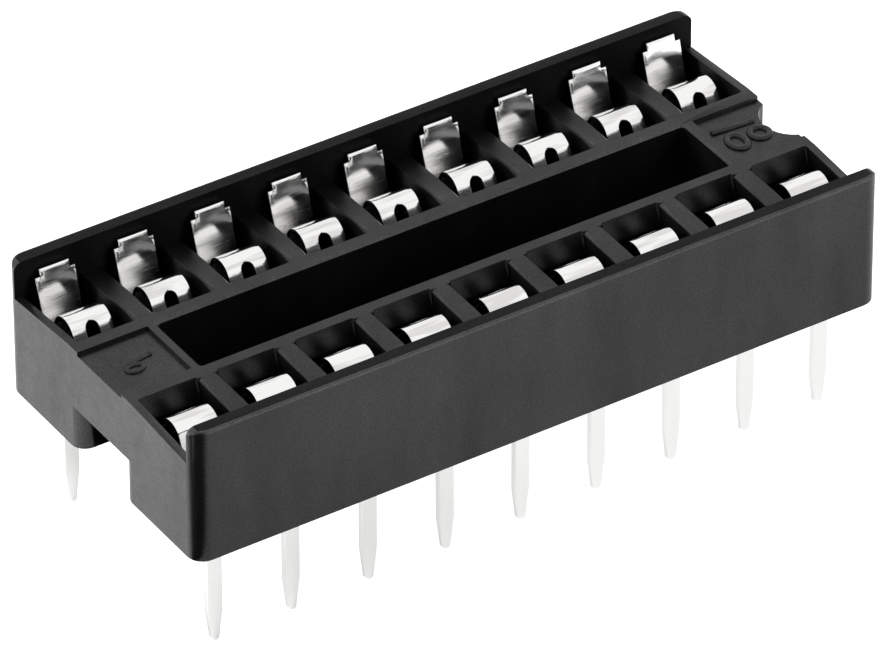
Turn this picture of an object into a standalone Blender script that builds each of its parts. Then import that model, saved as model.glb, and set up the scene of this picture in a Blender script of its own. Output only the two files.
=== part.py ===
"""A dual-leaf DIP IC socket with two rows of nine ways, for a through-hole board.

One moulded housing holds eighteen stamped contacts. The part stands on the tips of its solder
tails: the origin lies between them, at the centre of the pin field, with X along the rows.
"""

import math

import bmesh
import bpy
from mathutils import Matrix

MM = 0.001

# Pin field
WAYS = 9
PITCH = 2.54 * MM
ROW_SPACING = 7.62 * MM

# Housing plan, measured out from the line of pins in each row
POCKET_WIDTH = 1.92 * MM
END_WALL = 0.25 * MM
POCKET_OUTWARD = 0.74 * MM
POCKET_INWARD = 2.22 * MM
OUTER_WALL = 0.45 * MM
INNER_WALL = 0.42 * MM
BRIDGE_LENGTH = 2.57 * MM
CORNER_RADIUS = 0.50 * MM
FOOT_CORNER_RADIUS = 0.45 * MM
POCKET_CORNER_RADIUS = 0.08 * MM
WINDOW_CORNER_RADIUS = 0.12 * MM

# Housing heights above the board
RAIL_HEIGHT = 3.45 * MM
PARAPET_RISE = 0.95 * MM
DECK_FALL = 0.22 * MM
DECK_FALL_START = 2.14 * MM
DIVIDER_EDGE_RADIUS = 0.17 * MM
PARAPET_END_RADIUS = 0.30 * MM
TOP_EDGE_RADIUS = 0.09 * MM
ARCH_HEIGHT = 1.42 * MM
BRIDGE_RECESS = 0.12 * MM
WINDOW_LIP = 0.30 * MM
WINDOW_CHAMFER = 0.08 * MM
POCKET_MOUTH_DEPTH = 0.70 * MM
POCKET_UNDERCUT = 0.14 * MM
FLOOR_THICKNESS = 0.47 * MM

# Orientation notch in the bridge at the +X end
NOTCH_RADIUS = 1.00 * MM
NOTCH_DEPTH = 0.57 * MM

# Contact, stamped and folded from strip
STRIP_THICKNESS = 0.14 * MM
STRIP_WIDTH = 1.28 * MM
TAB_WIDTH = 0.95 * MM
TAB_HEIGHT = 0.22 * MM
LEAF_HEIGHT = 4.02 * MM
LEAF_TOP_OUTWARD = 0.645 * MM
LEAF_FOOT_OUTWARD = 0.20 * MM
LEAF_BEND_HEIGHT = 2.55 * MM
LEAF_BEND_RADIUS = 1.20 * MM
FOLD_RADIUS = 0.35 * MM
THROAT_INWARD = 0.21 * MM
THROAT_HEIGHT = 1.95 * MM
THROAT_RADIUS = 0.55 * MM
ROLL_RADIUS = 0.46 * MM
ROLL_HEIGHT = 3.30 * MM
ROLL_CENTRE_INWARD = 0.98 * MM
LIP_HEIGHT = 2.78 * MM
LIP_SLANT = math.radians(33)
LIP_NOTCH_WIDTH = 0.42 * MM
LIP_NOTCH_HEIGHT = 0.43 * MM

# Solder tail
TAIL_LENGTH = 3.80 * MM
TAIL_WIDTH = 0.50 * MM
TAIL_THICKNESS = 0.22 * MM
TAIL_TAPER = 1.05 * MM
TAIL_TIP_WIDTH = 0.26 * MM

# Room between a contact and the plastic that holds it
SEAT_CLEARANCE = 0.06 * MM

# Smoothness
CORNER_STEPS = 6
ROLL_STEPS = 10

# What follows from those
BODY_LENGTH = (WAYS - 1) * PITCH + POCKET_WIDTH + 2 * END_WALL
BODY_WIDTH = ROW_SPACING + 2 * (POCKET_OUTWARD + OUTER_WALL)
BODY_HEIGHT = RAIL_HEIGHT + PARAPET_RISE
WINDOW_LENGTH = BODY_LENGTH - 2 * BRIDGE_LENGTH
WINDOW_WIDTH = ROW_SPACING - 2 * (POCKET_INWARD + INNER_WALL)
FOLD_HEIGHT = FLOOR_THICKNESS + SEAT_CLEARANCE + STRIP_THICKNESS / 2
OVERCUT = 1.0 * MM


def clear_scene():
    for obj in list(bpy.data.objects):
        bpy.data.objects.remove(obj, do_unlink=True)


def material(name, colour, roughness, metallic):
    """A Principled material."""
    made = bpy.data.materials.new(name)
    made.use_nodes = True
    shader = made.node_tree.nodes["Principled BSDF"]
    shader.inputs["Base Color"].default_value = (*colour, 1)
    shader.inputs["Roughness"].default_value = roughness
    shader.inputs["Metallic"].default_value = metallic
    return made


def arc(centre, radius, start, end, steps):
    """Points along an arc, its angles in degrees."""
    angles = [math.radians(start + (end - start) * i / steps) for i in range(steps + 1)]
    return [(centre[0] + radius * math.cos(a), centre[1] + radius * math.sin(a)) for a in angles]


def rounded_rectangle(low, high, radii, steps=CORNER_STEPS):
    """Outline of a rectangle. radii start at the high corner and go round counter-clockwise."""
    corners = [(high[0], high[1]), (low[0], high[1]), (low[0], low[1]), (high[0], low[1])]
    outline = []
    for index, (corner, radius) in enumerate(zip(corners, radii)):
        if radius == 0:
            outline.append(corner)
            continue
        side = [(-1, -1), (1, -1), (1, 1), (-1, 1)][index]
        centre = (corner[0] + side[0] * radius, corner[1] + side[1] * radius)
        outline += arc(centre, radius, 90 * index, 90 * (index + 1), steps)
    return outline


def add_prism(bm, outline, low, high, axis):
    """Extrudes an outline along an axis. The outline runs in the other two, in the order XY, YZ or XZ."""
    place = {
        "Z": lambda a, b, c: (a, b, c),
        "X": lambda a, b, c: (c, a, b),
        "Y": lambda a, b, c: (a, c, b),
    }[axis]
    base = [bm.verts.new(place(a, b, low)) for a, b in outline]
    cap = bm.faces.new(base)
    extruded = bmesh.ops.extrude_face_region(bm, geom=[cap])
    moved = [v for v in extruded["geom"] if isinstance(v, bmesh.types.BMVert)]
    start, end = place(0, 0, low), place(0, 0, high)
    bmesh.ops.translate(bm, verts=moved, vec=[b - a for a, b in zip(start, end)])
    faces = {face for vert in base + moved for face in vert.link_faces}
    bmesh.ops.recalc_face_normals(bm, faces=list(faces))
    return moved


def object_from(bm, name):
    mesh = bpy.data.meshes.new(name)
    bm.to_mesh(mesh)
    bm.free()
    obj = bpy.data.objects.new(name, mesh)
    bpy.context.collection.objects.link(obj)
    return obj


def prisms(name, pieces):
    """One object of separate prisms, each given as its outline, low, high and axis."""
    bm = bmesh.new()
    for outline, low, high, axis in pieces:
        add_prism(bm, outline, low, high, axis)
    return object_from(bm, name)


def boolean(target, tool, operation="DIFFERENCE"):
    """Cuts or joins with a tool that stays in the file as a guide."""
    modifier = target.modifiers.new(tool.name, "BOOLEAN")
    modifier.operation = operation
    modifier.solver = "EXACT"
    modifier.object = tool
    tool.hide_render = True
    tool.display_type = "WIRE"


def box(low, high):
    return [(high[0], high[1]), (low[0], high[1]), (low[0], low[1]), (high[0], low[1])]


def way_positions():
    """The X of each way."""
    return [(index - (WAYS - 1) / 2) * PITCH for index in range(WAYS)]


def housing_blank():
    """The block that the rest is cut from: rounded corners in plan, and rounded parapet ends."""
    half = (BODY_LENGTH / 2, BODY_WIDTH / 2)
    bm = bmesh.new()
    outline = rounded_rectangle((-half[0], -half[1]), half, [CORNER_RADIUS] * 4)
    top = add_prism(bm, outline, 0, BODY_HEIGHT, "Z")
    rim = [edge for edge in bm.edges if all(vert in top for vert in edge.verts)]
    bmesh.ops.bevel(bm, geom=rim, offset=TOP_EDGE_RADIUS, segments=2, affect="EDGES", profile=0.5)
    return object_from(bm, "housing")


def parapet_end_cutter():
    """Rounds the top corners of both parapets, seen from the side."""
    x, z, r = BODY_LENGTH / 2, BODY_HEIGHT, PARAPET_END_RADIUS
    pieces = []
    for side in (1, -1):
        curve = arc((side * (x - r), z - r), r, 90 - 90 * side, 90, CORNER_STEPS)
        outline = [(side * (x + OVERCUT), z - r), *curve, (side * (x - r), z + OVERCUT)]
        outline.append((side * (x + OVERCUT), z + OVERCUT))
        pieces.append((outline, -BODY_WIDTH, BODY_WIDTH, "Y"))
    return prisms("parapet_end_cutter", pieces)


def deck_cutter():
    """Lowers the deck between the parapets, and lets it fall away towards them."""
    edge = ROW_SPACING / 2 + POCKET_OUTWARD
    crest = ROW_SPACING / 2 - DECK_FALL_START
    outline = [
        (edge, BODY_HEIGHT + OVERCUT),
        (-edge, BODY_HEIGHT + OVERCUT),
        (-edge, RAIL_HEIGHT - DECK_FALL),
        (-crest, RAIL_HEIGHT),
        (crest, RAIL_HEIGHT),
        (edge, RAIL_HEIGHT - DECK_FALL),
    ]
    reach = BODY_LENGTH / 2 + OVERCUT
    return prisms("deck_cutter", [(outline, -reach, reach, "X")])


def window_cutter():
    """The one long window between the rails."""
    half = (WINDOW_LENGTH / 2, WINDOW_WIDTH / 2)
    outline = rounded_rectangle((-half[0], -half[1]), half, [WINDOW_CORNER_RADIUS] * 4, 3)
    return prisms("window_cutter", [(outline, -OVERCUT, BODY_HEIGHT + OVERCUT, "Z")])


def window_chamfer_cutter():
    """Takes the top edges off the window at 45 degrees, with a block that widens upwards."""
    reach = OVERCUT / 2
    half = (WINDOW_LENGTH / 2 - reach, WINDOW_WIDTH / 2 - reach)
    outline = rounded_rectangle((-half[0], -half[1]), half, [WINDOW_CORNER_RADIUS] * 4, 3)
    foot = RAIL_HEIGHT - WINDOW_CHAMFER - reach
    bm = bmesh.new()
    for vert in add_prism(bm, outline, foot, foot + 2 * reach, "Z"):
        vert.co.x += math.copysign(2 * reach, vert.co.x)
        vert.co.y += math.copysign(2 * reach, vert.co.y)
    return object_from(bm, "window_chamfer_cutter")


def arch_cutter():
    """The gap under both bridges, with the inner corners of the four feet rounded in plan."""
    y, r = WINDOW_WIDTH / 2, FOOT_CORNER_RADIUS
    x = BODY_LENGTH / 2
    inner = WINDOW_LENGTH / 2 - OVERCUT
    pieces = []
    for side in (1, -1):
        flare = arc((x - r, -y - r), r, 90, 0, CORNER_STEPS) + [(x + OVERCUT, -y - r)]
        flare = [(inner, -y), *flare]
        outline = flare + [(a, -b) for a, b in reversed(flare)]
        outline = [(side * a, b) for a, b in outline]
        pieces.append((outline, -OVERCUT, ARCH_HEIGHT, "Z"))
    return prisms("arch_cutter", pieces)


def bridge_recess_cutter():
    """Sinks the top of both bridges, and leaves a lip along the window."""
    x0 = WINDOW_LENGTH / 2 + WINDOW_LIP
    x1 = BODY_LENGTH / 2 + OVERCUT
    y = WINDOW_WIDTH / 2
    pieces = []
    for side in (1, -1):
        outline = [(side * a, b) for a, b in box((x0, -y), (x1, y))]
        pieces.append((outline, RAIL_HEIGHT - BRIDGE_RECESS, BODY_HEIGHT, "Z"))
    return prisms("bridge_recess_cutter", pieces)


def notch_cutter():
    """The curved notch that marks the end of the first way."""
    centre = (BODY_LENGTH / 2 - NOTCH_DEPTH + NOTCH_RADIUS, 0)
    outline = arc(centre, NOTCH_RADIUS, 90, 270, 3 * CORNER_STEPS)
    outline += [(centre[0] + OVERCUT, -NOTCH_RADIUS), (centre[0] + OVERCUT, NOTCH_RADIUS)]
    return prisms("notch_cutter", [(outline, 0, BODY_HEIGHT, "Z")])


def both_rows(outline):
    """An outline given for the row at +Y, and its copy for the row at -Y."""
    return [outline, [(-a, -b) for a, b in outline]]


def pocket_mouth_cutter():
    """The upper part of each pocket, down to the step in the inner wall."""
    row, r = ROW_SPACING / 2, POCKET_CORNER_RADIUS
    pieces = []
    for x in way_positions():
        low = (x - POCKET_WIDTH / 2, row - POCKET_INWARD)
        high = (x + POCKET_WIDTH / 2, row + POCKET_OUTWARD)
        for outline in both_rows(rounded_rectangle(low, high, [0, 0, r, r], 4)):
            pieces.append((outline, RAIL_HEIGHT - POCKET_MOUTH_DEPTH, BODY_HEIGHT + OVERCUT, "Z"))
    return prisms("pocket_mouth_cutter", pieces)


def pocket_well_cutter():
    """The lower part of each pocket, cut back under the mouth, down to the floor."""
    row = ROW_SPACING / 2
    pieces = []
    for x in way_positions():
        low = (x - POCKET_WIDTH / 2, row - POCKET_INWARD - POCKET_UNDERCUT)
        high = (x + POCKET_WIDTH / 2, row + POCKET_OUTWARD)
        for outline in both_rows(box(low, high)):
            pieces.append((outline, FLOOR_THICKNESS, RAIL_HEIGHT - POCKET_MOUTH_DEPTH, "Z"))
    return prisms("pocket_well_cutter", pieces)


def divider_edge_cutter():
    """Rounds the top edges of the walls between pockets, until the deck falls below the curve."""
    r, xs = DIVIDER_EDGE_RADIUS, way_positions()
    start = ROW_SPACING / 2 - DECK_FALL_START
    end = ROW_SPACING / 2 + POCKET_OUTWARD
    edges = [(x + POCKET_WIDTH / 2, 1) for x in xs[:-1]] + [(x - POCKET_WIDTH / 2, -1) for x in xs[1:]]
    bm = bmesh.new()
    for x, side in edges:
        curve = arc((x + side * r, RAIL_HEIGHT - r), r, 90 + 90 * side, 90, 4)
        outline = [*curve, (x + side * r, BODY_HEIGHT), (x - side * r, BODY_HEIGHT)]
        outline.append((x - side * r, RAIL_HEIGHT - r))
        for row in (1, -1):
            add_prism(bm, outline, row * start, row * end, "Y")
    return object_from(bm, "divider_edge_cutter")


def tail_slot_cutter():
    """The slot in each pocket's floor that a solder tail passes through."""
    row = ROW_SPACING / 2
    half = (TAIL_WIDTH / 2 + SEAT_CLEARANCE, TAIL_THICKNESS / 2 + SEAT_CLEARANCE)
    pieces = []
    for x in way_positions():
        slot = box((x - half[0], row - half[1]), (x + half[0], row + half[1]))
        for outline in both_rows(slot):
            pieces.append((outline, -OVERCUT, RAIL_HEIGHT / 2, "Z"))
    return prisms("tail_slot_cutter", pieces)


def make_housing(plastic):
    housing = housing_blank()
    housing.data.materials.append(plastic)
    cutters = [
        parapet_end_cutter(),
        deck_cutter(),
        bridge_recess_cutter(),
        window_cutter(),
        window_chamfer_cutter(),
        arch_cutter(),
        notch_cutter(),
        pocket_mouth_cutter(),
        pocket_well_cutter(),
        divider_edge_cutter(),
        tail_slot_cutter(),
    ]
    for cutter in cutters:
        boolean(housing, cutter)
        cutter.location.z = TAIL_LENGTH
    housing.location.z = TAIL_LENGTH
    return housing


def filleted(corners):
    """A path through corners, each rounded to its own radius. A corner is (across, up, radius)."""
    path = [corners[0][:2]]
    for before, corner, after in zip(corners, corners[1:], corners[2:]):
        radius = corner[2]
        arms = [math.atan2(p[1] - corner[1], p[0] - corner[0]) for p in (before, after)]
        turn = (arms[1] - arms[0] + math.pi) % math.tau - math.pi
        setback = radius / abs(math.tan(turn / 2))
        reach = radius / abs(math.sin(turn / 2))
        middle = arms[0] + turn / 2
        centre = (corner[0] + reach * math.cos(middle), corner[1] + reach * math.sin(middle))
        ends = [(corner[0] + setback * math.cos(a), corner[1] + setback * math.sin(a)) for a in arms]
        angles = [math.degrees(math.atan2(e[1] - centre[1], e[0] - centre[0])) for e in ends]
        sweep = (angles[1] - angles[0] + 180) % 360 - 180
        steps = max(2, round(abs(sweep) / 90 * ROLL_STEPS / 2))
        path += arc(centre, radius, angles[0], angles[0] + sweep, steps)
    path.append(corners[-1][:2])
    return path


def thicken(path, thickness):
    """The outline of a strip whose middle follows a path."""
    sides = ([], [])
    for index, point in enumerate(path):
        before, after = path[max(index - 1, 0)], path[min(index + 1, len(path) - 1)]
        along = math.atan2(after[1] - before[1], after[0] - before[0])
        for side, sign in zip(sides, (1, -1)):
            step = sign * thickness / 2
            side.append((point[0] - step * math.sin(along), point[1] + step * math.cos(along)))
    return sides[0] + sides[1][::-1]


def strip_path():
    """The middle of the folded strip, from the outer leaf's top to the roll's lip.

    It is seen from the +X end of the row at +Y: across is outwards from the line of pins, and up
    is above the board. The inner leaf leaves the throat along a tangent of the fold below it and
    along a tangent of the roll above it, so it meets both without a kink.
    """
    rise = THROAT_HEIGHT - FOLD_HEIGHT - FOLD_RADIUS
    run = THROAT_INWARD + LEAF_FOOT_OUTWARD - FOLD_RADIUS
    lean = math.asin(FOLD_RADIUS / math.hypot(run, rise)) - math.atan2(run, rise)
    heel = THROAT_INWARD + (THROAT_HEIGHT - FOLD_HEIGHT) * math.tan(lean)
    rise = ROLL_HEIGHT - ROLL_RADIUS - THROAT_HEIGHT
    run = ROLL_CENTRE_INWARD - THROAT_INWARD
    lean = math.atan2(run, rise) - math.asin(ROLL_RADIUS / math.hypot(run, rise))
    shoulder = THROAT_INWARD + (ROLL_HEIGHT - THROAT_HEIGHT) * math.tan(lean)
    brow = ROLL_CENTRE_INWARD + ROLL_RADIUS * math.tan((math.pi / 2 - LIP_SLANT) / 2)
    lip = brow + (ROLL_HEIGHT - LIP_HEIGHT) * math.tan(LIP_SLANT)
    return filleted(
        [
            (LEAF_TOP_OUTWARD, LEAF_HEIGHT),
            (LEAF_FOOT_OUTWARD, LEAF_BEND_HEIGHT, LEAF_BEND_RADIUS),
            (LEAF_FOOT_OUTWARD, FOLD_HEIGHT, FOLD_RADIUS * 0.99),
            (-heel, FOLD_HEIGHT, FOLD_RADIUS * 0.99),
            (-THROAT_INWARD, THROAT_HEIGHT, THROAT_RADIUS),
            (-shoulder, ROLL_HEIGHT, ROLL_RADIUS),
            (-brow, ROLL_HEIGHT, ROLL_RADIUS * 0.98),
            (-lip, LIP_HEIGHT),
        ]
    )


def tail_outline():
    """The solder tail's face: straight sides, then a taper to a rounded tip."""
    tip = TAIL_TIP_WIDTH / 2
    right = [(TAIL_WIDTH / 2, FOLD_HEIGHT + STRIP_THICKNESS / 4), (TAIL_WIDTH / 2, TAIL_TAPER - TAIL_LENGTH)]
    left = [(-a, b) for a, b in reversed(right)]
    return right + arc((0, tip - TAIL_LENGTH), tip, 0, -180, 8) + left


def lip_notch_cutter():
    """The round-topped notch in the roll's lip."""
    half = LIP_NOTCH_WIDTH / 2
    top = arc((0, LIP_HEIGHT + LIP_NOTCH_HEIGHT - half), half, 0, 180, 8)
    outline = [(half, LIP_HEIGHT - OVERCUT / 2), *top, (-half, LIP_HEIGHT - OVERCUT / 2)]
    return prisms("lip_notch_cutter", [(outline, -2 * ROLL_CENTRE_INWARD, -ROLL_CENTRE_INWARD, "Y")])


def shoulder_cutter():
    """Narrows the top of the outer leaf to its tab."""
    pieces = []
    for side in (1, -1):
        low, high = sorted((side * TAB_WIDTH / 2, side * STRIP_WIDTH))
        outline = box((low, LEAF_HEIGHT - TAB_HEIGHT), (high, LEAF_HEIGHT + OVERCUT))
        pieces.append((outline, 0, LEAF_TOP_OUTWARD + OVERCUT, "Y"))
    return prisms("shoulder_cutter", pieces)


def make_contact_mesh(metal):
    """One contact as a mesh, made once and shared by all of them."""
    strip = thicken(strip_path(), STRIP_THICKNESS)
    blank = prisms("contact_blank", [(strip, -STRIP_WIDTH / 2, STRIP_WIDTH / 2, "X")])
    half = TAIL_THICKNESS / 2
    tail = prisms("tail_blank", [(tail_outline(), -half, half, "Y")])
    boolean(blank, tail, "UNION")
    boolean(blank, lip_notch_cutter())
    boolean(blank, shoulder_cutter())
    graph = bpy.context.evaluated_depsgraph_get()
    mesh = bpy.data.meshes.new_from_object(blank.evaluated_get(graph))
    mesh.name = "contact"
    mesh.materials.clear()
    mesh.materials.append(metal)
    mesh.shade_smooth()
    mesh.set_sharp_from_angle(angle=math.radians(30))
    for helper in [blank, *[modifier.object for modifier in blank.modifiers]]:
        bpy.data.objects.remove(helper, do_unlink=True)
    return mesh


def make_contacts(metal):
    """Numbered round the socket: along the -Y row from the notch, then back along the +Y row."""
    mesh = make_contact_mesh(metal)
    places = [(x, -1) for x in reversed(way_positions())] + [(x, 1) for x in way_positions()]
    for number, (x, side) in enumerate(places, start=1):
        contact = bpy.data.objects.new(f"contact_{number}", mesh)
        turn = Matrix.Rotation(0 if side > 0 else math.pi, 4, "Z")
        contact.matrix_world = Matrix.Translation((x, side * ROW_SPACING / 2, TAIL_LENGTH)) @ turn
        bpy.context.collection.objects.link(contact)


def main():
    clear_scene()
    plastic = material("black_moulded_plastic", (0.022, 0.022, 0.023), 0.55, 0)
    metal = material("tin_plated_bronze", (0.80, 0.79, 0.77), 0.28, 1)
    make_housing(plastic)
    make_contacts(metal)


main()
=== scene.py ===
# %% [markdown]
# # A DIP socket in the studio
#
# The object is the black socket that an integrated circuit plugs into: one moulded frame with two
# rows of bent, tin-plated contacts. Its solids are already packed, so this lesson starts by loading
# them as a fixed frame. Everything here is in metres, in the same place as those solids, and the
# box round them is kept to compare with at the end.

import math

import bmesh
import bpy
from mathutils import Matrix, Vector


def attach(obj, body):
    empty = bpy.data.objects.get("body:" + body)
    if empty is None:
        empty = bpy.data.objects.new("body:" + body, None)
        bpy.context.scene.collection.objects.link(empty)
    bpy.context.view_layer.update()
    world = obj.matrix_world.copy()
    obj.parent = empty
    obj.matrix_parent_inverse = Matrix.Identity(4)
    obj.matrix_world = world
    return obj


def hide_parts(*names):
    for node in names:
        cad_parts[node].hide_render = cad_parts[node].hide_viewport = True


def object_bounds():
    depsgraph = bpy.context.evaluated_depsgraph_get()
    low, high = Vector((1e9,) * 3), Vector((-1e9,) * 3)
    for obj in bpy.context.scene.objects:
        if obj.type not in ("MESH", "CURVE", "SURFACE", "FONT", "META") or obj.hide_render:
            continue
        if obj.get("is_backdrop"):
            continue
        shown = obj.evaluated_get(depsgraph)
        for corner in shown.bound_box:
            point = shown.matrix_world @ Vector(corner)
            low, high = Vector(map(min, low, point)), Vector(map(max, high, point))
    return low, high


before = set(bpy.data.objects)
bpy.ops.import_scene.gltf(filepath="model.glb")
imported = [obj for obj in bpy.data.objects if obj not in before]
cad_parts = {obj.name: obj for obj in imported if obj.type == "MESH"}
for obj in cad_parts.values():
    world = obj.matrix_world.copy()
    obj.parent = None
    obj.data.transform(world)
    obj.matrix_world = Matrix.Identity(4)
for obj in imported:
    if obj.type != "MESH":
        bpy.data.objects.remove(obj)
SOLID_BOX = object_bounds()
MM = 0.001
print("solids:", len(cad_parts), "box:", [[round(v / MM, 2) for v in corner] for corner in SOLID_BOX])

# %% [markdown]
# ## Sizes
#
# A part like this is drawn round its grid: pins 2.54 mm apart, in rows 7.62 mm apart. Heights are
# measured from the board, which touches the underside of the housing. The solder tails go on
# below it, and the object stands on their tips, so the board's height in the scene is the length
# of a tail. The strip that the contacts are bent from has one thickness and one width.

# %% Sizes of the socket and its strip
WAYS = 9
PITCH = 2.54 * MM
ROW_SPACING = 7.62 * MM
BOARD = 3.80 * MM
BRIDGE_TOP = BOARD + 3.33 * MM

STRIP_THICKNESS = 0.14 * MM
STRIP_WIDTH = 1.28 * MM
TAB_WIDTH = 0.95 * MM
TAB_HEIGHT = 0.22 * MM

# %% [markdown]
# ## The camera
#
# The photograph was taken with a long lens, from above and to the front left. The camera's place
# and lens were solved from the grid of pins, whose true spacing is known, so the render can be laid
# over the photograph. A camera looks along its own -Z, and its matrix is made of the directions of
# its right, its up and its back.

# %% Place the camera
CAMERA_RIGHT = Vector((0.83945268, -0.54342835, -0.00219501))
CAMERA_UP = Vector((0.32130805, 0.49307010, 0.80848192))
CAMERA_PLACE = Vector((-118.497, -183.612, 163.459)) * MM
SENSOR_WIDTH = 36
LENS = 388.03


def link(name, data):
    """A new object in the scene, made of a mesh, a curve, a lamp or a camera."""
    obj = bpy.data.objects.new(name, data)
    bpy.context.collection.objects.link(obj)
    return obj


camera_data = bpy.data.cameras.new("long_lens")
camera_data.sensor_width = SENSOR_WIDTH
camera_data.lens = LENS
camera_data.clip_start = 0.01
camera_data.clip_end = 20
camera = link("camera", camera_data)
camera_back = CAMERA_RIGHT.cross(CAMERA_UP)
turn = Matrix((CAMERA_RIGHT, CAMERA_UP, camera_back)).transposed().to_4x4()
camera.matrix_world = Matrix.Translation(CAMERA_PLACE) @ turn
bpy.context.scene.camera = camera
print("camera is", round(camera.location.length / MM), "mm from the socket")

# %% [markdown]
# ## Light
#
# The background of the photograph is plain white, and the end of the socket is much lighter than
# its long side: a large soft light stands behind it to the left, low down, and a weak one fills
# the front from the right. They light the paper, and the socket mirrors the paper rather than the
# lamps, so both are left out of reflections. The lamps are kept at a plain level. The white of the
# background comes from the floor and the world instead.

# %% Lamps
SOCKET_MIDDLE = (0, 0, 5)


def soft_lamp(name, place, size, power):
    """A square lamp turned to the socket and not seen in reflections. Sizes are in millimetres."""
    data = bpy.data.lights.new(name, "AREA")
    data.shape = "SQUARE"
    data.size = size * MM
    data.energy = power
    lamp = link(name, data)
    lamp.location = Vector(place) * MM
    towards = Vector(SOCKET_MIDDLE) * MM - lamp.location
    lamp.rotation_euler = towards.to_track_quat("-Z", "Y").to_euler()
    lamp.visible_glossy = False


soft_lamp("back_left_softbox", place=(-270, 190, 130), size=260, power=2.4)
soft_lamp("front_right_softbox", place=(160, -260, 120), size=200, power=0.8)

# %% [markdown]
# ## Small helpers for materials
#
# Every finish below is a tree of nodes. A few helpers keep the trees short. One makes a node and
# sets or links its inputs. The others stand for the small sums that come back in every tree: a
# Math node, a pair of limits turned into a gradient, and how far a place lies along a direction.

# %% Node helpers
def add_node(tree, kind, inputs=None, **settings):
    """A node of one kind. inputs are values, or another node's output to link."""
    node = tree.nodes.new(kind)
    for name, value in settings.items():
        setattr(node, name, value)
    for name, value in (inputs or {}).items():
        socket = node.inputs[name]
        if isinstance(value, bpy.types.NodeSocket):
            tree.links.new(value, socket)
        else:
            socket.default_value = value
    return node


def maths(tree, operation, first, second):
    """The result of a Math node. Each side is a value or another node's output."""
    return add_node(tree, "ShaderNodeMath", {0: first, 1: second}, operation=operation).outputs[0]


def spread(tree, value, low, high, start=0.0, end=1.0):
    """Maps a value that runs from start to end onto low to high."""
    inputs = {"Value": value, "From Min": start, "From Max": end, "To Min": low, "To Max": high}
    return add_node(tree, "ShaderNodeMapRange", inputs).outputs["Result"]


def reach_along(tree, vector, direction):
    """How far a vector reaches along a direction."""
    inputs = {0: vector, 1: direction}
    return add_node(tree, "ShaderNodeVectorMath", inputs, operation="DOT_PRODUCT").outputs["Value"]


# %% Empty materials and plain greys
def grey(level):
    return (level, level, level, 1)


def empty_material(name):
    """A material with only its output left, and that output's surface socket."""
    material = bpy.data.materials.new(name)
    material.use_nodes = True
    tree = material.node_tree
    tree.nodes.clear()
    output = add_node(tree, "ShaderNodeOutputMaterial")
    return material, tree, output.inputs["Surface"]


# %% [markdown]
# ## World and floor
#
# A ray that comes from the camera finds a white world. A ray that bounces off something glossy
# finds the same white, as the tin's rolls show, but for the side of the room behind the camera,
# which is dark. Any other ray finds a dim fill, so the housing's black stays black. The floor does
# the same: it is a pale matte sheet that takes the socket's shadow, with the missing brightness
# added for the first two kinds of ray. For reflections the paper also gets painted light, which
# grows a little from left to right, and a painted pool of light towards the lamp behind the end of
# the socket. The sheet lies a hair below the tips of the tails, so that the two don't share a
# surface.

# %% World
FILL = 0.30
SKY = 1.0
ROOM = 0.06
TO_ROOM = (-0.542, -0.840, 0.0)
ROOM_STARTS, ROOM_FULL = 0.72, 0.92


def by_ray(tree, camera_value, glossy_value, other_value):
    """One value for what the camera sees, one for reflections and one for all other light."""
    rays = add_node(tree, "ShaderNodeLightPath").outputs
    seen = maths(tree, "MAXIMUM", rays["Is Camera Ray"], rays["Is Transmission Ray"])
    reflected = spread(tree, rays["Is Glossy Ray"], other_value, glossy_value)
    return spread(tree, seen, reflected, camera_value)


world = bpy.data.worlds.new("white_studio")
world.use_nodes = True
tree = world.node_tree
tree.nodes.clear()
direction = add_node(tree, "ShaderNodeTexCoord").outputs["Generated"]
sky = spread(tree, reach_along(tree, direction, TO_ROOM), SKY, ROOM, ROOM_STARTS, ROOM_FULL)
strength = by_ray(tree, 1.0, sky, FILL)
background = add_node(tree, "ShaderNodeBackground", {"Color": grey(1), "Strength": strength})
add_node(tree, "ShaderNodeOutputWorld", {"Surface": background.outputs[0]})
bpy.context.scene.world = world
bpy.context.scene.view_settings.view_transform = "Standard"
print("world fill:", FILL)

# %% The floor's material
PAPER_SEEN = 0.80
PAPER_LEFT, PAPER_RIGHT = 0.20, 0.62
LEFT_END, RIGHT_END = -9 * MM, 2 * MM
PAINTED_LAMP_POOL = 0.80
TO_LAMP = (-1.0, 0.3, 0)
LAMP_START, LAMP_END = 9.5 * MM, 15 * MM

paper, tree, surface = empty_material("pale_paper")
place = add_node(tree, "ShaderNodeTexCoord").outputs["Object"]
# Painted light for reflections of the paper: it grows to the right and in a pool towards the lamp.
to_right = reach_along(tree, place, (1, 0, 0))
to_lamp = reach_along(tree, place, TO_LAMP)
painted_light_rightwards = spread(tree, to_right, PAPER_LEFT, PAPER_RIGHT, LEFT_END, RIGHT_END)
painted_light_lampwards = spread(tree, to_lamp, 0.0, PAINTED_LAMP_POOL, LAMP_START, LAMP_END)
lift = by_ray(tree, PAPER_SEEN, maths(tree, "ADD", painted_light_rightwards, painted_light_lampwards), 0.0)
matte = add_node(tree, "ShaderNodeBsdfDiffuse", {"Color": grey(0.70)})
glow = add_node(tree, "ShaderNodeEmission", {"Color": grey(1), "Strength": lift})
both = add_node(tree, "ShaderNodeAddShader", {0: matte.outputs[0], 1: glow.outputs[0]})
tree.links.new(both.outputs[0], surface)
print("paper nodes:", len(tree.nodes))

# %% Lay down the floor
FLOOR_HALF = 1.5
FLOOR_DROP = 0.005 * MM


def mesh_of(name, bm):
    """A mesh of what a bmesh holds. The bmesh is freed."""
    mesh = bpy.data.meshes.new(name)
    bm.to_mesh(mesh)
    bm.free()
    return mesh


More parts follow.
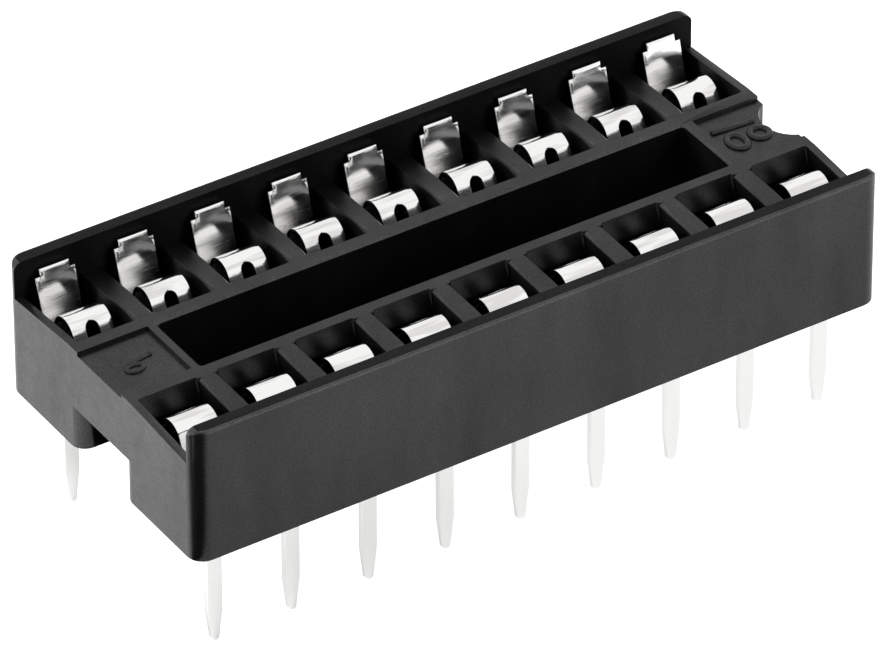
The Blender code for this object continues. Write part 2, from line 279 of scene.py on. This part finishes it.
sheet = bmesh.new()
bmesh.ops.create_grid(sheet, x_segments=1, y_segments=1, size=FLOOR_HALF)
floor_mesh = mesh_of("studio_floor", sheet)
floor_mesh.materials.append(paper)
floor_mesh.transform(Matrix.Translation((0, 0, -FLOOR_DROP)))
floor = link("studio_floor", floor_mesh)
floor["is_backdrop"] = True
print("floor:", floor.dimensions[:2])

# %% [markdown]
# ## Two black flags of painted shade
#
# The near corner of the photographed housing is a dark stripe between two lighter faces: its round
# edge mirrors the dark side of the studio, behind the camera. Inside the window the walls are
# black, because they mirror the shadow under the socket. Studios do this with black cards, called
# flags. One fans out from the corner towards the camera and one closes the window from below, both
# at the height of the housing's underside. They are hidden from the camera and cast no shadow, so
# that only reflections find them, and they are too high up to darken the tails.

# %% Lay down the flags
CORNER_CARD = [(-11.3, -4.7), (-20, -1.5), (-45, -45), (-10.8, -40)]
WINDOW_CARD = [(-10.75, -1.6), (10.75, -1.6), (10.75, 1.6), (-10.75, 1.6)]
CARD_HEIGHT = BOARD - 0.03 * MM

# Painted shade: black cards that only reflections see, standing in for the dark room and the socket's
# shadow.
card, tree, surface = empty_material("black_card")
tree.links.new(add_node(tree, "ShaderNodeBsdfDiffuse", {"Color": grey(0.0)}).outputs[0], surface)
cards = bmesh.new()
for outline in (CORNER_CARD, WINDOW_CARD):
    cards.faces.new([cards.verts.new((x * MM, y * MM, CARD_HEIGHT)) for x, y in outline])
flag_mesh = mesh_of("black_flags", cards)
flag_mesh.materials.append(card)
flag = link("black_flags", flag_mesh)
flag.visible_camera = False
flag.visible_diffuse = False
flag.visible_shadow = False
flag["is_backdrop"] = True
print("flags:", len(flag_mesh.polygons))

# %% [markdown]
# ## Black moulded plastic
#
# The housing is a glass-filled polyester, black all through. It isn't quite plain: the steel of the
# mould leaves a fine grain, the melt's flow leaves faint cloudy bands, and the sheen changes a
# little from place to place. Three noises at three scales do this. They read Object coordinates,
# which are in metres, so a noise's scale is one over the size of its spots. Some faces get a weaker
# sheen, as painted shade, or a stronger one, as painted highlights. Their attribute
# painted_gloss_change says by what share of the sheen. A mesh without that attribute reads as 0,
# which changes nothing.

# %% Noise in the plastic
BAND_SIZE, PATCH_SIZE, GRAIN_SIZE = 1.6 * MM, 0.45 * MM, 0.045 * MM
FLOW_STRETCH = (1.0, 1.0, 0.35)


def spots(tree, vector, size, detail):
    """Noise whose spots are about one size across, as a value round 0.5."""
    inputs = {"Vector": vector, "Scale": 1 / size, "Detail": detail, "Roughness": 0.55}
    return add_node(tree, "ShaderNodeTexNoise", inputs).outputs["Fac"]


def swing(tree, noise, low, high):
    """A noise, most of which lies between 0.3 and 0.7, as a value that swings from low to high."""
    return spread(tree, noise, low, high, 0.3, 0.7)


black_plastic, tree, surface = empty_material("black_moulded_plastic")
place = add_node(tree, "ShaderNodeTexCoord").outputs["Object"]
flow = add_node(tree, "ShaderNodeMapping", {"Vector": place, "Scale": FLOW_STRETCH}).outputs["Vector"]
bands = spots(tree, flow, BAND_SIZE, 4.0)
patches = spots(tree, place, PATCH_SIZE, 3.0)
grain = spots(tree, place, GRAIN_SIZE, 2.0)
print("noises:", len([node for node in tree.nodes if node.type == "TEX_NOISE"]))

# %% The plastic's material
DARK_BLACK, PALE_BLACK = (0.0024, 0.0024, 0.0025, 1), (0.0050, 0.0050, 0.0052, 1)
PATCH_RELIEF, GRAIN_RELIEF = 0.012 * MM, 0.006 * MM

cloudy = swing(tree, bands, 0.0, 1.0)
shade = add_node(tree, "ShaderNodeMixRGB", {"Fac": cloudy, "Color1": DARK_BLACK, "Color2": PALE_BLACK})
inputs = {"Strength": 0.30, "Distance": PATCH_RELIEF, "Height": patches}
coarse = add_node(tree, "ShaderNodeBump", inputs).outputs["Normal"]
inputs = {"Strength": 0.30, "Distance": GRAIN_RELIEF, "Height": grain, "Normal": coarse}
fine = add_node(tree, "ShaderNodeBump", inputs).outputs["Normal"]
sheen = maths(tree, "MULTIPLY", swing(tree, bands, 0.36, 0.50), swing(tree, grain, 0.65, 1.35))
# Painted shade and painted highlights: the housing's faces scale the sheen by their own share.
change = add_node(tree, "ShaderNodeAttribute", attribute_name="painted_gloss_change").outputs["Fac"]
inputs = {
    "Base Color": shade.outputs["Color"],
    "Roughness": swing(tree, patches, 0.30, 0.38),
    "Specular IOR Level": maths(tree, "MULTIPLY", sheen, maths(tree, "ADD", change, 1.0)),
    "IOR": 1.50,
    "Normal": fine,
}
tree.links.new(add_node(tree, "ShaderNodeBsdfPrincipled", inputs).outputs[0], surface)
print("plastic nodes:", len(tree.nodes))

# %% [markdown]
# ## The housing
#
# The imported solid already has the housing's shape, but its edges are knife sharp. Real moulded
# edges have a small radius, and that radius is what catches the light along every wall. So the
# solid's mesh is copied, its loose triangles are merged into flat faces, and a Bevel modifier
# rounds each sharp edge. The mouth of each pocket slopes a little, to guide a leg in, so the lower
# edge of its inner side is moved outwards first. The copy takes the solid's place in the picture.

# %% Plain meshes from modifiers
def plain_mesh(obj):
    """The object's mesh in its place, with its modifiers applied. The object goes."""
    graph = bpy.context.evaluated_depsgraph_get()
    mesh = bpy.data.meshes.new_from_object(obj.evaluated_get(graph))
    mesh.transform(obj.matrix_world)
    bpy.data.objects.remove(obj, do_unlink=True)
    return mesh


def as_plain_object(obj, name):
    """The object with its modifiers applied, as a new object at the origin. The old one goes."""
    mesh = plain_mesh(obj)
    mesh.name = name
    return link(name, mesh)


def round_edges(obj, radius, segments, angle):
    """Rounds the edges that turn by more than an angle, which is in degrees."""
    bevel = obj.modifiers.new("rounded edges", "BEVEL")
    bevel.width = radius
    bevel.segments = segments
    bevel.limit_method = "ANGLE"
    bevel.angle_limit = math.radians(angle)
    return bevel


def keep_flat(obj):
    """Smooth shading that lets big flat faces stay flat, up to the small roundings beside them."""
    obj.data.shade_smooth()
    weights = obj.modifiers.new("flat faces stay flat", "WEIGHTED_NORMAL")
    weights.mode = "FACE_AREA"
    weights.weight = 100


def count(obj):
    """How many triangles the object's mesh has."""
    obj.data.calc_loop_triangles()
    return len(obj.data.loop_triangles)


# %% Merge the faces and slope the mouths
MOUTH_FOOT = BOARD + 2.75 * MM
MOUTH_INNER = 1.59 * MM
MOUTH_CORNER = 1.67 * MM
MOUTH_SLOPE = 0.22 * MM
NEAR_ENOUGH = 0.01 * MM
SAME_POINT = 0.0002 * MM
SAME_PLANE = math.radians(0.4)

shell_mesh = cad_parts["housing"].data.copy()
merged = bmesh.new()
merged.from_mesh(shell_mesh)
bmesh.ops.remove_doubles(merged, verts=merged.verts, dist=SAME_POINT)
bmesh.ops.dissolve_limit(merged, angle_limit=SAME_PLANE, verts=merged.verts, edges=merged.edges)
sloped = 0
for vert in merged.verts:
    off_middle = abs(vert.co.y)
    at_foot = abs(vert.co.z - MOUTH_FOOT) < NEAR_ENOUGH
    if at_foot and MOUTH_INNER - NEAR_ENOUGH < off_middle < MOUTH_CORNER + NEAR_ENOUGH:
        vert.co.y += math.copysign(MOUTH_SLOPE, vert.co.y)
        sloped += 1
merged.to_mesh(shell_mesh)
merged.free()
print("sloped:", sloped, "points")

# %% Round the housing's edges
EDGE_RADIUS = 0.045 * MM

shell_mesh.materials.clear()
shell_mesh.materials.append(black_plastic)
shell = link("housing_blank", shell_mesh)
rounding = round_edges(shell, EDGE_RADIUS, segments=2, angle=38)
rounding.miter_outer = "MITER_ARC"
keep_flat(shell)
housing = as_plain_object(shell, "moulded_housing")
print("housing:", count(housing), "triangles")

# %% [markdown]
# ## Painted shade and highlights on the housing
#
# The outer walls of the pockets and the sides of the window get a much weaker sheen, as painted
# shade, so that they look nearly black, and the tops of the parapets get a weaker sheen, as painted
# shade that makes them darker than the deck. The rounded upper edges are the opposite: a stronger
# sheen on them is a painted highlight, and they show as thin light lines. So each face gets its own
# value of painted_gloss_change, from where it lies and which way it faces. The housing is then
# finished.

# %% Mark the faces
# Painted shade on pocket walls, window sides and parapet tops; a painted highlight on upper edges.
PAINTED_WALL_SHADE, PAINTED_PARAPET_SHADE, PAINTED_EDGE_HIGHLIGHT = -0.9, -0.8, 0.8
POCKET_WALL = (3.9 * MM, 4.8 * MM)
WINDOW_HALF_WIDTH, WINDOW_HALF_LENGTH = 1.4 * MM, 5.0 * MM
PARAPET_INNER = 4.5 * MM
UPRIGHT, LEVEL, SLANTED = 0.9, 0.95, 0.35


def painted_gloss_change(face):
    """How much the face's sheen differs from the rest's, as a share: painted shade or highlight."""
    off_middle = abs(face.center.y)
    in_pocket = POCKET_WALL[0] < off_middle < POCKET_WALL[1]
    in_window = off_middle < WINDOW_HALF_WIDTH and abs(face.center.x) < WINDOW_HALF_LENGTH
    if abs(face.normal.y) > UPRIGHT and (in_pocket or in_window):
        return PAINTED_WALL_SHADE
    if face.normal.z > LEVEL and off_middle > PARAPET_INNER:
        return PAINTED_PARAPET_SHADE
    return PAINTED_EDGE_HIGHLIGHT if SLANTED < face.normal.z < LEVEL else 0.0


marks = housing.data.attributes.new("painted_gloss_change", "FLOAT", "FACE")
for face, mark in zip(housing.data.polygons, marks.data):
    mark.value = painted_gloss_change(face)
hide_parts("housing")
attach(housing, "root")
print("marked faces:", sum(mark.value != 0 for mark in marks.data), "of", len(marks.data))

# %% [markdown]
# ## Raised numerals
#
# The mould has the number of legs, 18, cut into it, so that it stands up on the bridge beside the
# notch, and a small cavity number stands on the other bridge. Each stroke is a tube that is sunk
# half into the surface: a curve with a round bevel, flattened, whose lower half is out of sight.

# %% Strokes of the numerals
FLATTENED = 0.85
TOUCHING = 0.0005 * MM


def stroke(points, radius, closed=False):
    """A flattened tube along points on the bridge's top, as a mesh. Points are in millimetres."""
    data = bpy.data.curves.new("stroke", "CURVE")
    data.dimensions = "3D"
    data.bevel_depth = radius * MM
    data.bevel_resolution = 3
    data.use_fill_caps = True
    spline = data.splines.new("POLY")
    spline.points.add(len(points) - 1)
    for target, (x, y) in zip(spline.points, points):
        target.co = (x * MM, y * MM, 0, 1)
    spline.use_cyclic_u = closed
    obj = link("stroke", data)
    obj.matrix_world = Matrix.Translation((0, 0, BRIDGE_TOP)) @ Matrix.Diagonal((1, 1, FLATTENED, 1))
    return plain_mesh(obj)


def ring(x, y, across, along, steps=28):
    """The points of an oval round x and y, from its half sizes across and along the socket."""
    angles = [math.tau * i / steps for i in range(steps)]
    return [(x + along * math.cos(a), y + across * math.sin(a)) for a in angles]


def join_meshes(name, meshes):
    """One object made of several meshes, with its faces turned outwards."""
    bm = bmesh.new()
    for mesh in meshes:
        bm.from_mesh(mesh)
    bmesh.ops.remove_doubles(bm, verts=bm.verts, dist=TOUCHING)
    bmesh.ops.recalc_face_normals(bm, faces=bm.faces)
    return link(name, mesh_of(name, bm))


# %% Make the numerals
one = stroke([(9.28, 0.45), (9.97, 0.41), (10.66, 0.38)], 0.11)
eight_low = stroke(ring(9.69, -0.27, 0.36, 0.26), 0.115, closed=True)
eight_high = stroke(ring(10.47, -0.25, 0.28, 0.28), 0.11, closed=True)
cavity_ring = stroke(ring(-10.33, -0.20, 0.16, 0.26), 0.08, closed=True)
cavity_arm = stroke([(-10.45, -0.04), (-10.31, 0.06), (-9.93, 0.12), (-9.62, 0.16)], 0.08)
numerals = join_meshes("moulded_numerals", [one, eight_low, eight_high, cavity_ring, cavity_arm])
numerals.data.materials.append(black_plastic)
numerals.data.shade_smooth()
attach(numerals, "root")
print("numerals:", count(numerals), "triangles")

# %% [markdown]
# ## How a contact is folded
#
# A contact starts as a flat blank, stamped from strip, and is folded four times: a slight bend in
# the outer leaf, a U at the bottom, a pinch where the two leaves come closest, and a roll at the
# end of the inner leaf that guides the chip's leg in. The fold is drawn once, as a line seen from
# the end of the row. Across is the distance outwards from the line of pins, and up is the height
# above the board.

# %% A line with rounded corners
def rounded_path(corners, steps_each_quarter):
    """A path through corners, each rounded to its own radius. A corner is (across, up, radius)."""
    path = [corners[0][:2]]
    for before, corner, after in zip(corners, corners[1:], corners[2:]):
        radius = corner[2]
        arms = [math.atan2(p[1] - corner[1], p[0] - corner[0]) for p in (before, after)]
        bend = (arms[1] - arms[0] + math.pi) % math.tau - math.pi
        setback = radius / abs(math.tan(bend / 2))
        reach = radius / abs(math.sin(bend / 2))
        middle = arms[0] + bend / 2
        centre = (corner[0] + reach * math.cos(middle), corner[1] + reach * math.sin(middle))
        ends = [(corner[0] + setback * math.cos(a), corner[1] + setback * math.sin(a)) for a in arms]
        angles = [math.atan2(e[1] - centre[1], e[0] - centre[0]) for e in ends]
        sweep = (angles[1] - angles[0] + math.pi) % math.tau - math.pi
        steps = max(3, round(abs(sweep) / (math.pi / 2) * steps_each_quarter))
        for i in range(steps + 1):
            angle = angles[0] + sweep * i / steps
            path.append((centre[0] + radius * math.cos(angle), centre[1] + radius * math.sin(angle)))
    path.append(corners[-1][:2])
    return path


# %% The line that the strip follows
LEAF_TOP = (0.645 * MM, 4.02 * MM)
LEAF_BEND = 2.55 * MM
LEAF_FOOT = 0.20 * MM
FOLD_RADIUS = 0.35 * MM
FOLD_HEIGHT = 0.60 * MM
THROAT = (-0.21 * MM, 1.95 * MM)
ROLL_RADIUS = 0.46 * MM
ROLL_TOP = 3.30 * MM
ROLL_CENTRE = -0.98 * MM
LIP_END = 2.78 * MM
LIP_SLANT = math.radians(33)

# The inner leaf is a tangent of the fold below the throat, and of the roll above it.
rise, run = THROAT[1] - FOLD_HEIGHT - FOLD_RADIUS, LEAF_FOOT - FOLD_RADIUS - THROAT[0]
lean = math.asin(FOLD_RADIUS / math.hypot(run, rise)) - math.atan2(run, rise)
heel = THROAT[0] - (THROAT[1] - FOLD_HEIGHT) * math.tan(lean)
rise, run = ROLL_TOP - ROLL_RADIUS - THROAT[1], THROAT[0] - ROLL_CENTRE
lean = math.atan2(run, rise) - math.asin(ROLL_RADIUS / math.hypot(run, rise))
shoulder = THROAT[0] - (ROLL_TOP - THROAT[1]) * math.tan(lean)
brow = ROLL_CENTRE - ROLL_RADIUS * math.tan((math.pi / 2 - LIP_SLANT) / 2)
lip = brow - (ROLL_TOP - LIP_END) * math.tan(LIP_SLANT)

# Two arcs that meet are drawn a hair small, so that a short straight is left between them.
corners = [
    LEAF_TOP,
    (LEAF_FOOT, LEAF_BEND, 1.20 * MM),
    (LEAF_FOOT, FOLD_HEIGHT, FOLD_RADIUS * 0.99),
    (heel, FOLD_HEIGHT, FOLD_RADIUS * 0.99),
    (*THROAT, 0.55 * MM),
    (shoulder, ROLL_TOP, ROLL_RADIUS),
    (brow, ROLL_TOP, ROLL_RADIUS * 0.98),
    (lip, LIP_END),
]
fold_line = rounded_path(corners, steps_each_quarter=12)
lengths = [0.0]
for a, b in zip(fold_line, fold_line[1:]):
    lengths.append(lengths[-1] + math.dist(a, b))
STRIP_LENGTH = lengths[-1]
print("developed strip:", round(STRIP_LENGTH / MM, 2), "mm long,", len(fold_line), "points")

# %% [markdown]
# ## The blank
#
# Thinking of the flat blank makes the rest easy. At each distance along the strip the blank is a
# row of points across it. The tab at its top is narrower, and a round-topped notch splits its other
# end, where two halves part round a gap. Each row is laid on the folded line, so the notch bends
# with the roll by itself. Solidify then gives the sheet its thickness, and Bevel its worn edges.
# The distances are kept as a UV map, so that the marks in the tin can follow the strip.
#
# The outer leaf isn't quite flat. Forming leaves it cupped and twisted by a few hundredths of a
# millimetre, which is what breaks up its mirror image of the other row.

# %% Lay the blank on the line
NOTCH_HALF = 0.21 * MM
NOTCH_HEIGHT = 0.53 * MM
CUP = 0.015 * MM
TWIST = 0.05
TWIST_GROWS = 1.5 * MM
WARP_ENDS = 2.3 * MM
WARP_FADES = 0.8 * MM


def notch_gap(distance):
    """Half the notch's width at a distance along the strip, 0 above it."""
    from_lip = STRIP_LENGTH - distance
    above = from_lip - (NOTCH_HEIGHT - NOTCH_HALF)
    if above <= 0:
        return NOTCH_HALF
    return math.sqrt(max(NOTCH_HALF**2 - above**2, 0.0))


def on_line(distance):
    """The point of the folded line at a distance along it."""
    for start, end, a, b in zip(lengths, lengths[1:], fold_line, fold_line[1:]):
        if distance <= end:
            share = (distance - start) / (end - start)
            return (a[0] + (b[0] - a[0]) * share, a[1] + (b[1] - a[1]) * share)
    return fold_line[-1]


def warp(x, distance):
    """How far a point of the outer leaf stands off the folded line, outwards."""
    down = min(distance / TWIST_GROWS, 1.0)
    left = min(max((WARP_ENDS - distance) / WARP_FADES, 0.0), 1.0)
    return left * (TWIST * x * down + CUP * (2 * x / STRIP_WIDTH) ** 2)


print("notch at the lip:", round(2 * notch_gap(STRIP_LENGTH) / MM, 2), "mm wide")

# %% Choose the rows of points
LEAST_GAP = 0.03 * MM
SAME_PLACE = 1e-7

tab_end = TAB_HEIGHT / math.cos(math.atan2(LEAF_TOP[0] - LEAF_FOOT, LEAF_TOP[1] - LEAF_BEND))
arch = [math.radians(angle) for angle in (0, 18, 36, 52, 66, 78, 90)]
notch_rows = [STRIP_LENGTH - (NOTCH_HEIGHT - NOTCH_HALF) - NOTCH_HALF * math.sin(a) for a in arch]
even_rows = [STRIP_LENGTH * i / 60 for i in range(61)]
stations = sorted({round(s, 8) for s in [*lengths, *even_rows, *notch_rows, tab_end]})
kept = [stations[0]]
for station in stations[1:]:
    fixed = any(abs(station - s) < SAME_PLACE for s in [*notch_rows, tab_end, STRIP_LENGTH])
    if station - kept[-1] > LEAST_GAP or fixed:
        kept.append(station)
print("rows along the strip:", len(kept))

# %% Make the sheet
COLUMN = 0.33 * MM
TAB_COLUMNS, LEAF_COLUMNS = (1, 2, 4, 5), (0, 1, 2, 4, 5, 6)


def blank_sheet(rows):
    """The folded blank as a sheet without thickness, with its UV map in millimetres."""
    bm = bmesh.new()
    uv = bm.loops.layers.uv.new("strip")
    flat = {}
    grid = []
    for distance in rows:
        across, height = on_line(distance)
        half = [notch_gap(distance), COLUMN, TAB_WIDTH / 2, STRIP_WIDTH / 2]
        line = []
        for x in [-v for v in reversed(half)] + half:
            vert = bm.verts.new((x, across + warp(x, distance), height))
            flat[vert] = (x / MM, distance / MM)
            line.append(vert)
        grid.append((distance, line))
    for (start, near), (_, far) in zip(grid, grid[1:]):
        on_tab = start < tab_end - SAME_PLACE
        for i in TAB_COLUMNS if on_tab else LEAF_COLUMNS:
            face = bm.faces.new((near[i], near[i + 1], far[i + 1], far[i]))
            for loop in face.loops:
                loop[uv].uv = flat[loop.vert]
    loose = [vert for vert in bm.verts if not vert.link_faces]
    bmesh.ops.delete(bm, geom=loose, context="VERTS")
    bmesh.ops.remove_doubles(bm, verts=bm.verts, dist=TOUCHING)
    bmesh.ops.recalc_face_normals(bm, faces=bm.faces)
    return mesh_of("folded_blank", bm)


sheet_mesh = blank_sheet(kept)
print("sheet:", len(sheet_mesh.polygons), "faces")

# %% Give the sheet its thickness
STAMPED_EDGE = 0.022 * MM

folded = link("folded_blank", sheet_mesh)
thickness = folded.modifiers.new("strip thickness", "SOLIDIFY")
thickness.thickness = STRIP_THICKNESS
thickness.offset = 0
thickness.use_even_offset = True
round_edges(folded, STAMPED_EDGE, segments=2, angle=45)
keep_flat(folded)
folded = as_plain_object(folded, "folded_strip")
print("folded strip:", count(folded), "triangles")

# %% [markdown]
# ## The solder tail
#
# The tail hangs from the bottom of the U: a straight leg, squeezed narrower and thicker than the
# strip, and tapered at its tip so that it finds its hole. Its outline is drawn from the front and
# given its thickness, and its edges are rounded more than the strip's, as the squeezing leaves them.

# %% The tail's outline and thickness
TAIL_WIDTH = 0.50 * MM
TAIL_THICKNESS = 0.22 * MM
TAIL_ROOT = 0.68 * MM
TAIL_TAPER = 1.05 * MM
TAIL_TIP_WIDTH = 0.26 * MM


def tail_mesh():
    """The tail as a flat-sided leg, with its UV map in millimetres."""
    tip = TAIL_TIP_WIDTH / 2
    half = TAIL_WIDTH / 2
    side = [(half, TAIL_ROOT), (half, 0), (half, TAIL_TAPER - BOARD)]
    angles = [math.radians(-18 * i) for i in range(11)]
    end = [(tip * math.cos(a), tip - BOARD + tip * math.sin(a)) for a in angles]
    outline = side + end + [(-a, b) for a, b in reversed(side)]
    bm = bmesh.new()
    uv = bm.loops.layers.uv.new("strip")
    front = [bm.verts.new((a, -TAIL_THICKNESS / 2, b)) for a, b in outline]
    cap = bm.faces.new(front)
    grown = bmesh.ops.extrude_face_region(bm, geom=[cap])
    back = [v for v in grown["geom"] if isinstance(v, bmesh.types.BMVert)]
    bmesh.ops.translate(bm, verts=back, vec=(0, TAIL_THICKNESS, 0))
    bmesh.ops.recalc_face_normals(bm, faces=bm.faces)
    for face in bm.faces:
        for loop in face.loops:
            loop[uv].uv = (loop.vert.co.x / MM, (loop.vert.co.z + loop.vert.co.y) / MM)
    return mesh_of("tail_blank", bm)


tail = link("tail_blank", tail_mesh())
print("tail's blank:", len(tail.data.polygons), "faces")

# %% Round the tail's edges and join it to the strip
TAIL_EDGE = 0.04 * MM

round_edges(tail, TAIL_EDGE, segments=3, angle=45)
keep_flat(tail)
tail = as_plain_object(tail, "solder_tail")

with bpy.context.temp_override(active_object=folded, selected_editable_objects=[folded, tail]):
    bpy.ops.object.join()
contact_pattern = folded
contact_pattern.name = "contact_pattern"
print("one contact:", count(contact_pattern), "triangles")

# %% [markdown]
# ## Bright tin
#
# The contacts are bronze under a bright tin plating. The tools that fold the strip leave fine marks
# across it and a few soft darker lines, so the gloss is uneven: sharp in places, satin in others.
# The outer leaf, which they rub the most, is brushed and a little duller. The patterns read the
# strip's own UV map, whose second number is the distance along the strip in millimetres, and a
# number that differs from contact to contact shifts them, so that no two contacts are marked alike.
# Down the tail the second number is below 0, so the masks that start at 0.7 leave it plain.

# %% Patterns on the strip
bright_tin, tree, surface = empty_material("bright_tin")
strip_place = add_node(tree, "ShaderNodeUVMap", uv_map="strip").outputs["UV"]
own = add_node(tree, "ShaderNodeAttribute", attribute_name="strike").outputs["Fac"]
shift = add_node(tree, "ShaderNodeCombineXYZ", {"X": own, "Y": own, "Z": own}).outputs[0]
shifted = add_node(tree, "ShaderNodeVectorMath", {0: strip_place, 1: shift}, operation="ADD").outputs[0]


def streaks(across, along, detail):
    """Noise in the strip's own plane, its spots so many millimetres across and along the strip."""
    scale = (1 / across, 1 / along, 1.0)
    vector = add_node(tree, "ShaderNodeMapping", {"Vector": shifted, "Scale": scale})
    inputs = {"Vector": vector.outputs["Vector"], "Scale": 1.0, "Detail": detail, "Roughness": 0.6}
    return add_node(tree, "ShaderNodeTexNoise", inputs).outputs["Fac"]


LINES_START, LINES_FULL = 0.7, 1.0
FOLD_START, FOLD_FULL = 2.6, 3.2
fold_marks = streaks(0.9, 0.035, 3.0)
clouds = streaks(0.50, 0.45, 2.0)
soft_lines = streaks(2.2, 0.22, 1.5)
distance = add_node(tree, "ShaderNodeSeparateXYZ", {"Vector": strip_place}).outputs["Y"]
on_strip = spread(tree, distance, 0.0, 1.0, LINES_START, LINES_FULL)
before_fold = spread(tree, distance, 1.0, 0.0, FOLD_START, FOLD_FULL)
leaf = maths(tree, "MULTIPLY", before_fold, on_strip)
lines = maths(tree, "MULTIPLY", spread(tree, soft_lines, 1.0, 0.0, 0.36, 0.5), on_strip)
print("pattern nodes:", len(tree.nodes))

# %% The tin's material
CLEAN_TIN, LINE_TIN = (0.91, 0.905, 0.895, 1), (0.73, 0.72, 0.71, 1)
MARK_DEPTH, BRUSHED_DEPTH = 0.0015 * MM, 0.012 * MM
RIPPLE_DEPTH = 0.008 * MM

tone = add_node(tree, "ShaderNodeMixRGB", {"Fac": lines, "Color1": CLEAN_TIN, "Color2": LINE_TIN})
depth = spread(tree, leaf, MARK_DEPTH, BRUSHED_DEPTH)
relief = add_node(tree, "ShaderNodeBump", {"Strength": 0.4, "Distance": depth, "Height": fold_marks})
inputs = {"Strength": 0.07, "Distance": RIPPLE_DEPTH, "Height": clouds, "Normal": relief.outputs["Normal"]}
ripple = add_node(tree, "ShaderNodeBump", inputs)
inputs = {
    "Base Color": tone.outputs["Color"],
    "Metallic": 1.0,
    "Roughness": maths(tree, "ADD", spread(tree, leaf, 0.0, 0.10), swing(tree, fold_marks, 0.07, 0.18)),
    "Normal": ripple.outputs["Normal"],
}
tree.links.new(add_node(tree, "ShaderNodeBsdfPrincipled", inputs).outputs[0], surface)
print("tin nodes:", len(tree.nodes))

# %% [markdown]
# ## Two rows of contacts
#
# Eighteen contacts follow from one rule, so Geometry Nodes place them: a line of points for each
# row, one contact on each point, and the row at the front turned half round so that its roll
# faces the window too. Contacts never stand quite true in their slots, so each leans by a small
# random angle from a fixed seed. The tree also gives each contact its own number for the tin.

# %% Start the tree
rows_tree = bpy.data.node_groups.new("contact_rows", "GeometryNodeTree")
rows_tree.interface.new_socket("Geometry", in_out="OUTPUT", socket_type="NodeSocketGeometry")
given_values = {}
for name, kind, value in [
    ("Contact", "NodeSocketObject", contact_pattern),
    ("Ways", "NodeSocketInt", WAYS),
    ("Pitch", "NodeSocketFloat", PITCH),
    ("Row Spacing", "NodeSocketFloat", ROW_SPACING),
    ("Board Height", "NodeSocketFloat", BOARD),
    ("Lean", "NodeSocketFloat", math.radians(0.3)),
    ("Seed", "NodeSocketInt", 5),
    ("Finish", "NodeSocketMaterial", bright_tin),
]:
    socket = rows_tree.interface.new_socket(name, in_out="INPUT", socket_type=kind)
    given_values[socket.identifier] = value

given = add_node(rows_tree, "NodeGroupInput").outputs
gaps = maths(rows_tree, "SUBTRACT", given["Ways"], 1.0)
first_way = maths(rows_tree, "MULTIPLY", maths(rows_tree, "MULTIPLY", gaps, given["Pitch"]), -0.5)
step = add_node(rows_tree, "ShaderNodeCombineXYZ", {"X": given["Pitch"]}).outputs[0]
one_contact = add_node(rows_tree, "GeometryNodeObjectInfo", {"Object": given["Contact"]})
print("tree inputs:", len(given_values))

# %% One row for each side
def one_row(side, seed_shift):
    """The instances of one row. side is 1 at the back and -1 at the front."""
    away = maths(rows_tree, "MULTIPLY", given["Row Spacing"], side / 2)
    inputs = {"X": first_way, "Y": away, "Z": given["Board Height"]}
    start = add_node(rows_tree, "ShaderNodeCombineXYZ", inputs).outputs[0]
    inputs = {"Count": given["Ways"], "Start Location": start, "Offset": step}
    line = add_node(rows_tree, "GeometryNodeMeshLine", inputs, mode="OFFSET", count_mode="TOTAL")
    least = maths(rows_tree, "MULTIPLY", given["Lean"], -1.0)
    seed = maths(rows_tree, "ADD", given["Seed"], seed_shift)
    inputs = {2: least, 3: given["Lean"], "Seed": seed}
    chance = add_node(rows_tree, "FunctionNodeRandomValue", inputs, data_type="FLOAT")
    turned = 0.0 if side > 0 else math.pi
    angles = add_node(rows_tree, "ShaderNodeCombineXYZ", {"Y": chance.outputs[1], "Z": turned})
    inputs = {
        "Points": line.outputs["Mesh"],
        "Instance": one_contact.outputs["Geometry"],
        "Rotation": angles.outputs[0],
    }
    return add_node(rows_tree, "GeometryNodeInstanceOnPoints", inputs).outputs["Instances"]


both_rows = add_node(rows_tree, "GeometryNodeJoinGeometry")
for side, seed_shift in ((1, 0.0), (-1, 40.0)):
    rows_tree.links.new(one_row(side, seed_shift), both_rows.inputs["Geometry"])

strike = add_node(rows_tree, "FunctionNodeRandomValue", {3: 30.0}, data_type="FLOAT")
inputs = {"Geometry": both_rows.outputs[0], "Name": "strike", "Value": strike.outputs[1]}
marked = add_node(
    rows_tree, "GeometryNodeStoreNamedAttribute", inputs, data_type="FLOAT", domain="INSTANCE"
)
real = add_node(rows_tree, "GeometryNodeRealizeInstances", {"Geometry": marked.outputs["Geometry"]})
inputs = {"Geometry": real.outputs["Geometry"], "Material": given["Finish"]}
dressed = add_node(rows_tree, "GeometryNodeSetMaterial", inputs)
add_node(rows_tree, "NodeGroupOutput", {"Geometry": dressed.outputs["Geometry"]})
print("tree nodes:", len(rows_tree.nodes))

# %% Grow the rows
holder = link("contact_rows", bpy.data.meshes.new("contact_rows"))
grow = holder.modifiers.new("contact rows", "NODES")
grow.node_group = rows_tree
for identifier, value in given_values.items():
    grow[identifier] = value
contacts = as_plain_object(holder, "folded_contacts")
bpy.data.objects.remove(contact_pattern, do_unlink=True)

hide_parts(*[f"contact_{number}" for number in range(1, 2 * WAYS + 1)])
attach(contacts, "root")
print("contacts:", count(contacts), "triangles")

# %% [markdown]
# ## The size at the end
#
# The boxes of the solids and of the dressed socket are printed one under the other.

# %% Finish
VISUAL_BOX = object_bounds()
for name, corners in (("solids", SOLID_BOX), ("visual", VISUAL_BOX)):
    print(name, [[round(v / MM, 3) for v in corner] for corner in corners])
